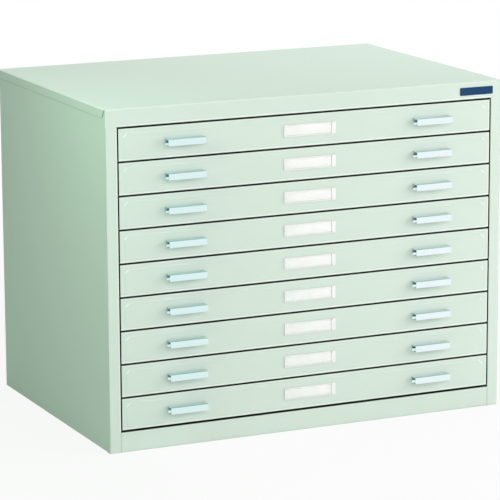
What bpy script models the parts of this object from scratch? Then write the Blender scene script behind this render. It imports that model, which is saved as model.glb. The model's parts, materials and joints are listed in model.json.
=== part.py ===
"""Steel map cabinet: nine shallow drawers for large flat sheets, in a folded sheet-metal body.

The origin is on the floor under the middle of the closed cabinet, pulls included.
+X runs along the width, the drawers open towards -Y, and +Z is up.
"""

import math

import bmesh
import bpy
from mathutils import Vector

# Body
BODY_WIDTH = 1.000
BODY_DEPTH = 0.690
BODY_HEIGHT = 0.785
BODY_SHEET = 0.0010
BODY_FOLD = 0.0020
SEAM = 0.0003
RELIEF = 0.0005
SLOT = 0.0012
CORNER_CUT = 0.0030

# Top panel
RAIL_HEIGHT = 0.041
RAIL_RETURN = 0.018
SIDE_FLANGE = 0.020
REAR_FLANGE = 0.020
REAR_OVERHANG = 0.007

# Side panels
STILE_WIDTH = 0.0285
STILE_RETURN = 0.020
REAR_LIP = 0.015
FOOT_FLANGE = 0.020
HEAD_FLANGE = 0.012

# Back panel
BACK_INSET = 0.0035
BACK_LIFT = 0.003

# Base
KICK_HEIGHT = 0.047
KICK_LAP = 0.012
KICK_FOOT = 0.015
FLOOR_FLANGE = 0.025

# Hat-section stiffeners
HAT_BRIM = 0.012
HAT_HEIGHT = 0.018
HAT_CROWN = 0.026
HAT_SHEET = 0.0012
HAT_FOLD = 0.0022
TOP_HAT_PLACE_SHARES = (0.33, 0.67)

# Runner racks
POST_FOOT = 0.015
POST_FACE = 0.020
POST_SHEET = 0.0012
POST_FOLD = 0.0024
POST_SETBACK = 0.004
RUNNER_SHEET = 0.0012
RUNNER_FOLD = 0.0020
RUNNER_INSET = 0.0010
RUNNER_UPPER = 0.009
WELD_DEPTH = 0.0006

# Drawers
DRAWER_COUNT = 9
DRAWER_GAP = 0.0034
BOTTOM_GAP = 0.0045
SIDE_GAP = 0.0025
DRAWER_SHEET = 0.0008
DRAWER_FOLD = 0.0018
FRONT_RETURN = 0.016
FIELD_SIDE = 0.011
FIELD_FOOT = 0.006
FIELD_CHAMFER = 0.009
FIELD_SLOPE = 0.0015
FIELD_RISE = 0.0007
TRAY_WALL = 0.050
TRAY_CLEARANCE = 0.012
SLIDE_WIDTH = 0.012
SLIDE_LIP = 0.008
SLIDE_PLAY = 0.0004
SLIDE_START = 0.0015
HOOD_DEPTH = 0.060
HOOD_LIP = 0.008

# Pulls
PULL_LENGTH = 0.092
PULL_HEIGHT = 0.0160
PULL_REACH = 0.0222
PULL_SHEET = 0.0015
PULL_FOLD = 0.0025
PULL_LIP = 0.0095
PULL_BACK = 0.0135
PULL_FROM_SIDE = 0.188
PULL_FROM_FOOT = 0.0364

# Label holders
LABEL_LENGTH = 0.130
LABEL_HEIGHT = 0.0276
LABEL_DEPTH = 0.0032
LABEL_EDGE = 0.0007
LABEL_RIM = 0.0022
LABEL_GRIP = 0.0105
LABEL_POCKET = 0.0016
LABEL_FROM_FOOT = 0.0382

FOLD_STEPS = 2
PULL_STEPS = 3
FOLD_ANGLE = math.radians(30)
SHARP_ANGLE = math.radians(50)
ROUND_PROFILE_SHARE = 0.5

# Where the pieces meet
HALF_WIDTH = BODY_WIDTH / 2
FRONT = (PULL_REACH + FIELD_RISE - BODY_DEPTH) / 2
SIDE_FACE = HALF_WIDTH - BODY_SHEET - SEAM
SIDE_INNER = SIDE_FACE - BODY_SHEET
PANEL_REAR = BODY_DEPTH - REAR_OVERHANG
PANEL_TOP = BODY_HEIGHT - BODY_SHEET - SEAM
HALF_OPENING = HALF_WIDTH - STILE_WIDTH
OPENING_TOP = BODY_HEIGHT - RAIL_HEIGHT
FLOOR_TOP = KICK_HEIGHT - BODY_SHEET - SEAM
NOTCH = BODY_FOLD + RELIEF

HALF_FRONT = HALF_OPENING - SIDE_GAP
DRAWER_SPACE = OPENING_TOP - KICK_HEIGHT - BOTTOM_GAP
DRAWER_PITCH = DRAWER_SPACE / DRAWER_COUNT
FRONT_HEIGHT = DRAWER_PITCH - DRAWER_GAP
HALF_TRAY = HALF_FRONT - SLIDE_WIDTH
TRAY_FRONT = DRAWER_SHEET + SEAM
TRAY_REAR = PANEL_REAR - BODY_SHEET - TRAY_CLEARANCE
TRAY_FLOOR = DRAWER_SHEET + SEAM
TRAY_TOP = TRAY_FLOOR + TRAY_WALL
TRAY_NOTCH = DRAWER_FOLD + RELIEF
RUNNER_FACE = HALF_OPENING + RUNNER_INSET

X, Y = range(2)


def clear_scene():
    for thing in list(bpy.data.objects):
        bpy.data.objects.remove(thing, do_unlink=True)


def make_material(name, colour, roughness, metallic):
    material = bpy.data.materials.new(name)
    material.use_nodes = True
    shader = material.node_tree.nodes["Principled BSDF"]
    shader.inputs["Base Color"].default_value = (*colour, 1.0)
    shader.inputs["Roughness"].default_value = roughness
    shader.inputs["Metallic"].default_value = metallic
    return material


def add_empty(name, location):
    empty = bpy.data.objects.new(name, None)
    empty.location = location
    bpy.context.scene.collection.objects.link(empty)
    return empty


def add_object(name, mesh, material, location, parent=None):
    if not mesh.materials:
        mesh.materials.append(material)
    thing = bpy.data.objects.new(name, mesh)
    thing.location = location
    thing.parent = parent
    bpy.context.scene.collection.objects.link(thing)
    return thing


def add_thickness(thing, thickness):
    """Gives a skin its sheet, on the side that its faces look away from."""
    solid = thing.modifiers.new("sheet", "SOLIDIFY")
    solid.thickness = thickness
    solid.offset = -1.0
    solid.use_even_offset = True
    solid.use_quality_normals = True


def middle(edge):
    return (edge.verts[0].co + edge.verts[1].co) / 2


def plate(bm, corners):
    """One flat face through its corners. Returns its edges in the corners' order."""
    verts = [bm.verts.new(corner) for corner in corners]
    bm.faces.new(verts)
    return [bm.edges.get(pair) for pair in zip(verts, verts[1:] + verts[:1])]


def extend(bm, edges, move):
    """Draws the sheet on from open edges. Returns the new open edges in the same order."""
    move = Vector(move)
    aims = [middle(edge) + move for edge in edges]
    made = bmesh.ops.extrude_edge_only(bm, edges=edges)["geom"]
    verts = [item for item in made if isinstance(item, bmesh.types.BMVert)]
    bmesh.ops.translate(bm, verts=verts, vec=move)
    fresh = [item for item in made if isinstance(item, bmesh.types.BMEdge)]
    return [min(fresh, key=lambda edge: (middle(edge) - aim).length) for aim in aims]


def divide(bm, edge, axis, places):
    """Splits an open edge at places along an axis. Returns the pieces from low to high."""
    pieces = [edge]
    for place in places:
        for piece in pieces:
            start, end = piece.verts
            share = (place - start.co[axis]) / (end.co[axis] - start.co[axis])
            if 0.0 < share < 1.0:
                pieces.append(bmesh.utils.edge_split(piece, start, share)[0])
                break
    return sorted(pieces, key=lambda piece: middle(piece)[axis])


def slant_end(edge, axis, high, shift):
    """Moves one end of an open edge along an axis, which cuts that end at an angle."""
    pick = max if high else min
    pick(edge.verts, key=lambda vert: vert.co[axis]).co[axis] += shift


def face_skin(bm, inside):
    """Turns every face of the skin to one side, away from a point behind its first face."""
    bmesh.ops.recalc_face_normals(bm, faces=bm.faces)
    bm.faces.ensure_lookup_table()
    first = bm.faces[0]
    first.normal_update()
    if first.normal.dot(first.calc_center_median() - Vector(inside)) < 0:
        bmesh.ops.reverse_faces(bm, faces=bm.faces)


def round_folds(bm, radius, steps=FOLD_STEPS):
    folds = [
        edge
        for edge in bm.edges
        if len(edge.link_faces) == 2 and edge.calc_face_angle() > FOLD_ANGLE
    ]
    bmesh.ops.bevel(
        bm,
        geom=folds,
        offset=radius,
        offset_type="OFFSET",
        segments=steps,
        profile=ROUND_PROFILE_SHARE,
        affect="EDGES",
    )


def mirror(bm):
    """Turns a left-hand piece into its right-hand twin."""
    bmesh.ops.scale(bm, verts=bm.verts, vec=(-1, 1, 1))
    bmesh.ops.reverse_faces(bm, faces=bm.faces)


def finish_mesh(bm, name):
    mesh = bpy.data.meshes.new(name)
    bm.to_mesh(mesh)
    bm.free()
    mesh.shade_smooth()
    mesh.set_sharp_from_angle(angle=SHARP_ANGLE)
    return mesh


def front_face(bm):
    """The largest face that looks to the front."""
    facing = [face for face in bm.faces if -face.normal.y > abs(face.normal.x) + abs(face.normal.z)]
    return max(facing, key=lambda face: face.calc_area())


def closed_pan(bm, corners, move):
    """A plate whose four edges are all folded the same way and joined at their corners."""
    extend(bm, plate(bm, corners), move)


def make_top_panel(paint):
    """The lid: its front edge is the deep rail, its sides and back are short flanges."""
    bm = bmesh.new()
    cut_end = NOTCH + CORNER_CUT
    rear_start = BODY_DEPTH - NOTCH
    rear_cut = BODY_DEPTH - cut_end
    notch_x = HALF_WIDTH - NOTCH
    left = [
        (HALF_WIDTH, 0.0),
        (HALF_WIDTH, NOTCH),
        (notch_x, NOTCH),
        (notch_x, cut_end),
        (HALF_WIDTH, cut_end),
        (HALF_WIDTH, rear_cut),
        (notch_x, rear_cut),
        (notch_x, rear_start),
        (HALF_WIDTH, rear_start),
        (HALF_WIDTH, BODY_DEPTH),
    ]
    corners = [(-x, y, 0.0) for x, y in left] + [(x, y, 0.0) for x, y in reversed(left)]
    edges = plate(bm, corners)
    left_side, rear, right_side, front = edges[4], edges[9], edges[14], edges[19]
    face_skin(bm, (0.0, 0.0, -BODY_HEIGHT))

    for side in (left_side, right_side):
        flange = extend(bm, [side], (0.0, 0.0, -SIDE_FLANGE))[0]
        slant_end(flange, Y, False, SIDE_FLANGE - cut_end)
    extend(bm, [rear], (0.0, 0.0, -REAR_FLANGE))

    return_end = SIDE_INNER - SEAM
    slot_x = return_end + RELIEF
    strips = divide(bm, front, X, (-slot_x, -return_end, return_end, slot_x))
    rail = extend(bm, strips, (0.0, 0.0, NOTCH - RAIL_HEIGHT))
    tongue = extend(bm, [rail[0], rail[2], rail[4]], (0.0, 0.0, -NOTCH))
    extend(bm, [tongue[1]], (0.0, RAIL_RETURN, 0.0))

    face_skin(bm, (0.0, BODY_DEPTH / 2, -BODY_HEIGHT))
    round_folds(bm, BODY_FOLD)
    mesh = finish_mesh(bm, "top_panel")
    panel = add_object("top_panel", mesh, paint, (0.0, FRONT, BODY_HEIGHT))
    add_thickness(panel, BODY_SHEET)


def make_side_panel(name, paint, right_hand):
    """One blank folded into the cabinet's side, its front stile and its inner flanges."""
    bm = bmesh.new()
    stile_top = OPENING_TOP - SEAM
    behind_rail = BODY_SHEET + SEAM
    foot_slot = STILE_RETURN + SLOT
    outline = [
        (0.0, 0.0),
        (0.0, stile_top),
        (NOTCH, stile_top),
        (NOTCH, stile_top + SLOT),
        (behind_rail, stile_top + SLOT),
        (behind_rail, PANEL_TOP - NOTCH),
        (NOTCH, PANEL_TOP),
        (PANEL_REAR - NOTCH, PANEL_TOP),
        (PANEL_REAR - NOTCH, PANEL_TOP - NOTCH),
        (PANEL_REAR, PANEL_TOP - NOTCH),
        (PANEL_REAR, NOTCH),
        (PANEL_REAR - NOTCH, NOTCH),
        (PANEL_REAR - NOTCH, 0.0),
        (foot_slot, 0.0),
        (foot_slot, NOTCH),
        (STILE_RETURN, NOTCH),
        (STILE_RETURN, 0.0),
    ]
    edges = plate(bm, [(-SIDE_FACE, y, z) for y, z in outline])
    front, head, rear, foot = edges[0], edges[6], edges[9], edges[12]

    stile = extend(bm, [front], (SIDE_FACE - HALF_OPENING, 0.0, 0.0))
    extend(bm, stile, (0.0, STILE_RETURN, 0.0))
    extend(bm, [head], (HEAD_FLANGE, 0.0, 0.0))
    extend(bm, [rear], (REAR_LIP, 0.0, 0.0))
    extend(bm, [foot], (FOOT_FLANGE, 0.0, 0.0))

    face_skin(bm, (0.0, BODY_DEPTH / 2, BODY_HEIGHT / 2))
    round_folds(bm, BODY_FOLD)
    if right_hand:
        mirror(bm)
    panel = add_object(name, finish_mesh(bm, name), paint, (0.0, FRONT, 0.0))
    add_thickness(panel, BODY_SHEET)


def make_back_panel(paint):
    """A shallow pan that closes the back, under the top panel's rear flange."""
    bm = bmesh.new()
    half = SIDE_FACE - BACK_INSET
    depth = REAR_OVERHANG - BODY_SHEET - 2 * SEAM
    height = PANEL_TOP - BACK_LIFT
    corners = [(-half, 0.0, 0.0), (half, 0.0, 0.0), (half, 0.0, height), (-half, 0.0, height)]
    closed_pan(bm, corners, (0.0, -depth, 0.0))
    face_skin(bm, (0.0, -BODY_DEPTH, height / 2))
    round_folds(bm, BODY_FOLD)
    place = (0.0, FRONT + BODY_DEPTH - BODY_SHEET - SEAM, BACK_LIFT)
    panel = add_object("back_panel", finish_mesh(bm, "back_panel"), paint, place)
    add_thickness(panel, BODY_SHEET)


def make_floor_pan(paint):
    """The cabinet's floor, with its edges folded down between the side panels."""
    bm = bmesh.new()
    half = SIDE_INNER - SEAM
    near = STILE_RETURN + SEAM
    far = PANEL_REAR - BODY_SHEET - SEAM
    corners = [(-half, near, 0.0), (half, near, 0.0), (half, far, 0.0), (-half, far, 0.0)]
    closed_pan(bm, corners, (0.0, 0.0, -FLOOR_FLANGE))
    face_skin(bm, (0.0, BODY_DEPTH / 2, -BODY_HEIGHT))
    round_folds(bm, BODY_FOLD)
    mesh = finish_mesh(bm, "floor_pan")
    pan = add_object("floor_pan", mesh, paint, (0.0, FRONT, FLOOR_TOP))
    add_thickness(pan, BODY_SHEET)


def make_kick_rail(paint):
    """The rail between the stiles at the floor. Its upper return laps over the floor pan."""
    bm = bmesh.new()
    half = HALF_OPENING - SEAM
    edges = plate(
        bm,
        [
            (-half, 0.0, 0.0),
            (half, 0.0, 0.0),
            (half, 0.0, KICK_HEIGHT),
            (-half, 0.0, KICK_HEIGHT),
        ],
    )
    extend(bm, [edges[2]], (0.0, STILE_RETURN + SEAM + KICK_LAP, 0.0))
    extend(bm, [edges[0]], (0.0, KICK_FOOT, 0.0))
    face_skin(bm, (0.0, BODY_DEPTH, KICK_HEIGHT / 2))
    round_folds(bm, BODY_FOLD)
    rail = add_object("kick_rail", finish_mesh(bm, "kick_rail"), paint, (0.0, FRONT, 0.0))
    add_thickness(rail, BODY_SHEET)


def make_hat(name, paint, half_length, centre_y, top):
    """A hat-section stiffener that hangs by its two brims from the sheet above it."""
    bm = bmesh.new()
    half_crown = HAT_CROWN / 2
    brim_edge = half_crown + HAT_BRIM
    brim = plate(
        bm,
        [
            (-half_length, -brim_edge, 0.0),
            (half_length, -brim_edge, 0.0),
            (half_length, -half_crown, 0.0),
            (-half_length, -half_crown, 0.0),
        ],
    )
    web = extend(bm, [brim[2]], (0.0, 0.0, -HAT_HEIGHT))
    crown = extend(bm, web, (0.0, HAT_CROWN, 0.0))
    web = extend(bm, crown, (0.0, 0.0, HAT_HEIGHT))
    extend(bm, web, (0.0, HAT_BRIM, 0.0))
    face_skin(bm, (0.0, 0.0, -BODY_HEIGHT))
    round_folds(bm, HAT_FOLD)
    hat = add_object(name, finish_mesh(bm, name), paint, (0.0, FRONT + centre_y, top))
    add_thickness(hat, HAT_SHEET)


def make_stiffeners(paint):
    under_top = BODY_HEIGHT - BODY_SHEET - SEAM
    half_top = SIDE_FACE - HEAD_FLANGE - SEAM
    for name, share in zip(("top_stiffener_front", "top_stiffener_rear"), TOP_HAT_PLACE_SHARES):
        make_hat(name, paint, half_top, share * BODY_DEPTH, under_top)
    half_floor = SIDE_INNER - SEAM - BODY_FOLD - SEAM
    under_floor = FLOOR_TOP - BODY_SHEET - SEAM
    make_hat("floor_stiffener", paint, half_floor, BODY_DEPTH / 2, under_floor)


def drawer_foot(number):
    """The height of a drawer front's lower edge. Drawer 1 is the top one."""
    return OPENING_TOP - number * DRAWER_PITCH


def add_post(bm, near):
    """A Z-section upright: one flange on the side panel, the other behind the runners."""
    foot = FLOOR_TOP + SEAM
    head = PANEL_TOP - BODY_FOLD - SEAM
    outer = SIDE_INNER - SEAM
    inner = RUNNER_FACE + RUNNER_SHEET - WELD_DEPTH
    far = near + POST_FOOT
    flange = plate(
        bm,
        [(-outer, near, foot), (-outer, far, foot), (-outer, far, head), (-outer, near, head)],
    )
    web = extend(bm, [flange[1]], (outer - inner, 0.0, 0.0))
    extend(bm, web, (0.0, POST_FACE, 0.0))


def add_runner(bm, foot):
    """A channel open to the middle. The tray's slide flange runs between its flanges."""
    near = STILE_RETURN + SEAM
    far = PANEL_REAR - BODY_SHEET - SEAM
    low = foot + TRAY_TOP - SLIDE_LIP - SLIDE_PLAY - RUNNER_SHEET
    high = foot + TRAY_TOP + SLIDE_PLAY + RUNNER_SHEET
    outer = RUNNER_FACE + RUNNER_SHEET
    lower = RUNNER_SHEET + RUNNER_INSET + SIDE_GAP + SLIDE_WIDTH - SLIDE_START
    web = plate(bm, [(-outer, near, low), (-outer, far, low), (-outer, far, high), (-outer, near, high)])
    extend(bm, [web[0]], (lower, 0.0, 0.0))
    extend(bm, [web[2]], (RUNNER_UPPER, 0.0, 0.0))


def make_rack(name, zinc, right_hand):
    """Nine runners welded to a front and a rear post."""
    posts = bmesh.new()
    front_post = STILE_RETURN + POST_SETBACK
    rear_post = PANEL_REAR - front_post - POST_FOOT - POST_FACE
    for near in (front_post, rear_post):
        add_post(posts, near)
    face_skin(posts, (0.0, front_post, BODY_HEIGHT / 2))
    round_folds(posts, POST_FOLD)

    runners = bmesh.new()
    for number in range(1, DRAWER_COUNT + 1):
        add_runner(runners, drawer_foot(number))
    face_skin(runners, (0.0, BODY_DEPTH / 2, drawer_foot(1)))
    round_folds(runners, RUNNER_FOLD)

    if right_hand:
        mirror(posts)
        mirror(runners)
    rack = add_object(name, finish_mesh(posts, name), zinc, (0.0, FRONT, 0.0))
    add_thickness(rack, POST_SHEET)
    row_name = name + "_runners"
    row = add_object(row_name, finish_mesh(runners, row_name), zinc, (0.0, FRONT, 0.0))
    add_thickness(row, RUNNER_SHEET)
    row.hide_render = True
    row.display_type = "WIRE"
    weld = rack.modifiers.new("weld", "BOOLEAN")
    weld.operation = "UNION"
    weld.object = row


def tray_mesh():
    """The drawer's tray: four walls, outward slide flanges and a hood over the rear edge."""
    bm = bmesh.new()
    side_near = TRAY_FRONT + TRAY_NOTCH
    side_far = TRAY_REAR - TRAY_NOTCH
    half_wall = HALF_TRAY - TRAY_NOTCH
    quarter = [
        (HALF_TRAY, side_near),
        (HALF_TRAY, side_far),
        (half_wall, side_far),
        (half_wall, TRAY_REAR),
    ]
    near = [(-half_wall, side_near, TRAY_FLOOR)]
    left = [(-x, y, TRAY_FLOOR) for x, y in quarter]
    right = [(x, y, TRAY_FLOOR) for x, y in reversed(quarter)]
    front = [
        (half_wall, side_near, TRAY_FLOOR),
        (half_wall, TRAY_FRONT, TRAY_FLOOR),
        (-half_wall, TRAY_FRONT, TRAY_FLOOR),
    ]
    edges = plate(bm, near + left + right + front)
    left_side, rear_side, right_side, front_side = edges[1], edges[4], edges[7], edges[10]

    front_wall = FRONT_HEIGHT - TRAY_FLOOR - DRAWER_FOLD - SEAM
    extend(bm, [front_side], (0.0, 0.0, front_wall))
    walls = extend(bm, [left_side, rear_side, right_side], (0.0, 0.0, TRAY_WALL - DRAWER_SHEET))
    slide_near = FRONT_RETURN + SLIDE_START
    for wall, hand in ((walls[0], -1), (walls[2], 1)):
        rim = divide(bm, wall, Y, (slide_near - SLOT, slide_near))
        slide = extend(bm, [rim[2]], (hand * (SLIDE_WIDTH - DRAWER_SHEET), 0.0, 0.0))
        extend(bm, slide, (0.0, 0.0, DRAWER_SHEET - SLIDE_LIP))
    crest = extend(bm, [walls[1]], (0.0, 0.0, DRAWER_SHEET))
    hood = extend(bm, crest, (0.0, -HOOD_DEPTH, 0.0))
    extend(bm, hood, (0.0, 0.0, -HOOD_LIP))

    face_skin(bm, (0.0, BODY_DEPTH / 2, BODY_HEIGHT))
    round_folds(bm, DRAWER_FOLD)
    return finish_mesh(bm, "drawer_tray")


def front_mesh():
    """The drawer front: a closed pan with a raised field whose upper corners are cut off."""
    bm = bmesh.new()
    corners = [
        (-HALF_FRONT, 0.0, 0.0),
        (HALF_FRONT, 0.0, 0.0),
        (HALF_FRONT, 0.0, FRONT_HEIGHT),
        (-HALF_FRONT, 0.0, FRONT_HEIGHT),
    ]
    closed_pan(bm, corners, (0.0, FRONT_RETURN, 0.0))
    face_skin(bm, (0.0, FRONT_RETURN, FRONT_HEIGHT / 2))
    round_folds(bm, DRAWER_FOLD)

    face = front_face(bm)
    bmesh.ops.inset_region(bm, faces=[face], thickness=FIELD_FOOT - DRAWER_FOLD)
    field_top = FRONT_HEIGHT - FIELD_SIDE
    for vert in face.verts:
        vert.co.x = math.copysign(HALF_FRONT - FIELD_SIDE, vert.co.x)
        vert.co.z = min(vert.co.z, field_top)
    upper = [vert for vert in face.verts if vert.co.z > FRONT_HEIGHT / 2]
    bmesh.ops.bevel(
        bm,
        geom=upper,
        offset=FIELD_CHAMFER,
        offset_type="OFFSET",
        segments=1,
        affect="VERTICES",
    )
    bmesh.ops.inset_region(bm, faces=[front_face(bm)], thickness=FIELD_SLOPE, depth=FIELD_RISE)
    return finish_mesh(bm, "drawer_front")


def pull_mesh():
    """A bent strip: back plate, top web, grip face and a short lip for the fingers."""
    bm = bmesh.new()
    half = PULL_LENGTH / 2
    top = PULL_HEIGHT / 2
    foot = top - PULL_BACK
    back = -SEAM
    plate_edges = plate(
        bm,
        [(-half, back, foot), (half, back, foot), (half, back, top), (-half, back, top)],
    )
    web = extend(bm, [plate_edges[2]], (0.0, SEAM - PULL_REACH, 0.0))
    grip = extend(bm, web, (0.0, 0.0, -PULL_HEIGHT))
    extend(bm, grip, (0.0, PULL_LIP, 0.0))
    face_skin(bm, (0.0, -PULL_REACH, 0.0))
    round_folds(bm, PULL_FOLD, PULL_STEPS)
    return finish_mesh(bm, "pull")


def label_mesh():
    """A moulded holder: a thin frame with a pocket for the card and a wider right-hand end."""
    bm = bmesh.new()
    half_long = LABEL_LENGTH / 2
    half_high = LABEL_HEIGHT / 2
    back = -SEAM
    corners = [
        (-half_long, back, -half_high),
        (half_long, back, -half_high),
        (half_long, back, half_high),
        (-half_long, back, half_high),
    ]
    plate(bm, corners)
    bm.faces.ensure_lookup_table()
    raised = bmesh.ops.extrude_face_region(bm, geom=bm.faces[:])["geom"]
    verts = [item for item in raised if isinstance(item, bmesh.types.BMVert)]
    bmesh.ops.translate(bm, verts=verts, vec=(0.0, -LABEL_DEPTH, 0.0))
    bmesh.ops.recalc_face_normals(bm, faces=bm.faces)
    rim = [edge for edge in bm.edges if all(vert.co.y < back for vert in edge.verts)]
    bmesh.ops.bevel(
        bm,
        geom=rim,
        offset=LABEL_EDGE,
        offset_type="OFFSET",
        segments=1,
        affect="EDGES",
    )
    face = front_face(bm)
    bmesh.ops.inset_region(bm, faces=[face], thickness=LABEL_RIM - LABEL_EDGE)
    for vert in face.verts:
        if vert.co.x > 0:
            vert.co.x = half_long - LABEL_GRIP
    sunk = bmesh.ops.extrude_face_region(bm, geom=[face, *face.edges, *face.verts])["geom"]
    verts = [item for item in sunk if isinstance(item, bmesh.types.BMVert)]
    bmesh.ops.translate(bm, verts=verts, vec=(0.0, LABEL_POCKET, 0.0))
    bmesh.ops.recalc_face_normals(bm, faces=bm.faces)
    return finish_mesh(bm, "label_holder")


def make_drawers(paint, bright, plastic):
    tray = tray_mesh()
    front = front_mesh()
    pull = pull_mesh()
    label = label_mesh()
    pull_x = HALF_WIDTH - PULL_FROM_SIDE
    for number in range(1, DRAWER_COUNT + 1):
        drawer = add_empty(f"drawer_{number}", (0.0, FRONT, drawer_foot(number)))
        tray_part = add_object(f"drawer_tray_{number}", tray, paint, (0.0, 0.0, 0.0), drawer)
        add_thickness(tray_part, DRAWER_SHEET)
        front_part = add_object(f"drawer_front_{number}", front, paint, (0.0, 0.0, 0.0), drawer)
        add_thickness(front_part, DRAWER_SHEET)
        for hand, side in (("left", -1), ("right", 1)):
            place = (side * pull_x, -FIELD_RISE, PULL_FROM_FOOT)
            grip = add_object(f"pull_{hand}_{number}", pull, bright, place, drawer)
            add_thickness(grip, PULL_SHEET)
        place = (0.0, -FIELD_RISE, LABEL_FROM_FOOT)
        add_object(f"label_holder_{number}", label, plastic, place, drawer)


def main():
    clear_scene()
    paint = make_material("pale green paint", (0.665, 0.800, 0.690), 0.45, 0.0)
    zinc = make_material("zinc plate", (0.62, 0.63, 0.64), 0.38, 1.0)
    bright = make_material("bright plated metal", (0.80, 0.88, 0.90), 0.18, 1.0)
    plastic = make_material("ivory plastic", (0.93, 0.94, 0.88), 0.40, 0.0)

    make_top_panel(paint)
    make_side_panel("side_panel_left", paint, False)
    make_side_panel("side_panel_right", paint, True)
    make_back_panel(paint)
    make_floor_pan(paint)
    make_kick_rail(paint)
    make_stiffeners(paint)
    make_rack("runner_rack_left", zinc, False)
    make_rack("runner_rack_right", zinc, True)
    make_drawers(paint, bright, plastic)


main()
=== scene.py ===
"""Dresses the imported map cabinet: enamel, zinc and plastic finishes, pulls, card frames and a studio."""

import json
import math

import bmesh
import bpy
from mathutils import Matrix, Vector

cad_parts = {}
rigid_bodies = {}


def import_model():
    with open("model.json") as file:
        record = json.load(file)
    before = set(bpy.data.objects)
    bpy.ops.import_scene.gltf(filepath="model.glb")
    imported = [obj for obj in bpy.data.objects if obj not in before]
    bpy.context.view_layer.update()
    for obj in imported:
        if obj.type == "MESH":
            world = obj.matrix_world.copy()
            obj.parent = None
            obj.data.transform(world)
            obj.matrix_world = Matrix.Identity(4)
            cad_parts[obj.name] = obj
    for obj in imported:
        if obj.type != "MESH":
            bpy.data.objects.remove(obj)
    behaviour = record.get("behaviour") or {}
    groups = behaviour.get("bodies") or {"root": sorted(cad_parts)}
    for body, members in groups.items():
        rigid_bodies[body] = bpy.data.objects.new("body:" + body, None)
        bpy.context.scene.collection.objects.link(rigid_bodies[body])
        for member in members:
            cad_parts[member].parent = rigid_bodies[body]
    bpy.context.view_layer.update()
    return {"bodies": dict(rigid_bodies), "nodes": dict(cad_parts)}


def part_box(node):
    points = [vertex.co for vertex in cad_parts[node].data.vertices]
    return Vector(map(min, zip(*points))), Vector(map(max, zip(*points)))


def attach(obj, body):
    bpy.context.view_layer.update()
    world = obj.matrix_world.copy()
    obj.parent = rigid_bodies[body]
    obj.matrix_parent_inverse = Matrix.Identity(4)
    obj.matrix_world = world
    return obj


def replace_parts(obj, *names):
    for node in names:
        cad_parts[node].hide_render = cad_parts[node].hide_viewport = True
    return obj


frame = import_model()

bl_info = {
    "name": "Map Cabinet Dressing",
    "version": (1, 0, 0),
    "blender": (4, 5, 0),
    "location": "View3D > Sidebar > Map Cabinet",
    "description": "Finishes and fittings for a steel map cabinet with flat drawers",
    "category": "Object",
}

DRAWERS = sorted(name for name in frame["bodies"] if name.startswith("drawer_"))
PAINTED_SHELL = ("top_panel", "side_panel_left", "side_panel_right", "back_panel", "floor_pan", "kick_rail")
ZINC_INSIDES = (
    "top_stiffener_front", "top_stiffener_rear", "floor_stiffener", "runner_rack_left", "runner_rack_right")
TO_FRONT = Vector((0, -1, 0))
SMOOTH_ANGLE = math.radians(32)
WHITE = (1, 1, 1, 1)
DARK_ZINC, PALE_ZINC = (0.56, 0.57, 0.58, 1), (0.70, 0.71, 0.72, 1)
DULL_CLEAR, BRIGHT_CLEAR = (0.93, 0.94, 0.94, 1), (0.97, 0.98, 0.98, 1)
FLOOR_GREY = (0.86, 0.86, 0.86, 1)

# Least cosine between a face and the way it faces, and between an edge and the axis it runs along
FACING, ALONG = 0.9, 0.99

# Shares of a screw head's height that is rounded, and of a dressed joint's that is ground off its rim
HEAD_ROUNDING, GROUND_OFF = 0.6, 0.75

# Thickness of the drawers' sheet in the frame, on which the screw heads sit
DRAWER_SHEET = 0.0008

# Each softbox: its name, place, target, width, the setting that holds its power, and its colour
SOFTBOXES = (
    ("key_softbox", (-0.6, -4.4, 1.9), (0, 0, 0.4), 3.0, "key_power", (1, 0.943, 1)),
    ("right_softbox", (2.2, -1.9, 1.3), (0.3, -0.3, 0.4), 2.2, "right_power", (1, 0.943, 0.901)),
    ("top_softbox", (0.8, 0.6, 2.6), (0, 0, 0.7), 2.0, "top_power", (1, 0.993, 0.98)),
    ("side_softbox", (-1.3, -0.55, 1.3), (-0.5, -0.3, 0.6), 0.5, "side_power", (0.76, 1, 0.78)),
)

# Noise scales in waves to the metre, and the heights of their grain in metres
CLOUD_SCALE, FLECK_SCALE, PEEL_SCALE = 2.3, 700, 340
CRYSTAL_SCALE, ZINC_HAZE_SCALE, PULL_HAZE_SCALE = 95, 14, 60
MATT_SCALE, IVORY_HAZE_SCALE, SMEAR_SCALE = 1500, 35, 45
PLATE_CLOUD_SCALE, PLATE_PEEL_SCALE = 60, 500
PULL_LINES, CARD_FIBRES = (14, 900, 900), (400, 1, 1600)
PEEL_DEPTH, FINE_DEPTH, LINE_DEPTH, FIBRE_DEPTH = 0.00002, 0.00001, 0.000004, 0.000002
ENAMEL_GLOSS = 0.15
PLATE_GLOSS = 0.2
WINDOW_IOR = 1.49

# Openness from which a hollow counts as shut in, and from which it counts as open, for the painted shade in
# creases, inside the pulls and in the card frames' holes and corners
CREASE_OPENNESS = (0.65, 0.97)
PULL_OPENNESS = (0.25, 0.85)
RECESS_SHADE_OPENNESS = (0.05, 0.42)

# Tilts between which an edge, a cut corner and an upward face begin and end, for the painted highlights on
# edges and cut corners and the painted reflection on the pulls' tops
EDGE_TILT = (0.02, 0.12)
CORNER_TILT = (0.04, 0.08)
UPWARD_TILT = (0.5, 0.9)


def number_of(drawer):
    """The drawer's number at the end of its body's name, counted from the top."""
    return drawer.rsplit("_", 1)[1]


# Sizes and colours

def length_setting(name, description, default, low, high):
    """A length in metres, with the least and the greatest that make sense."""
    return bpy.props.FloatProperty(
        name=name, description=description, default=default, unit="LENGTH", min=low, max=high, precision=5)


def share_setting(name, description, default):
    """A share from nought to one."""
    return bpy.props.FloatProperty(
        name=name, description=description, default=default, subtype="FACTOR", min=0, max=1)


def colour_setting(name, description, default):
    """A colour with its opacity."""
    return bpy.props.FloatVectorProperty(
        name=name, description=description, default=default, subtype="COLOR", size=4, min=0, max=1)


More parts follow.
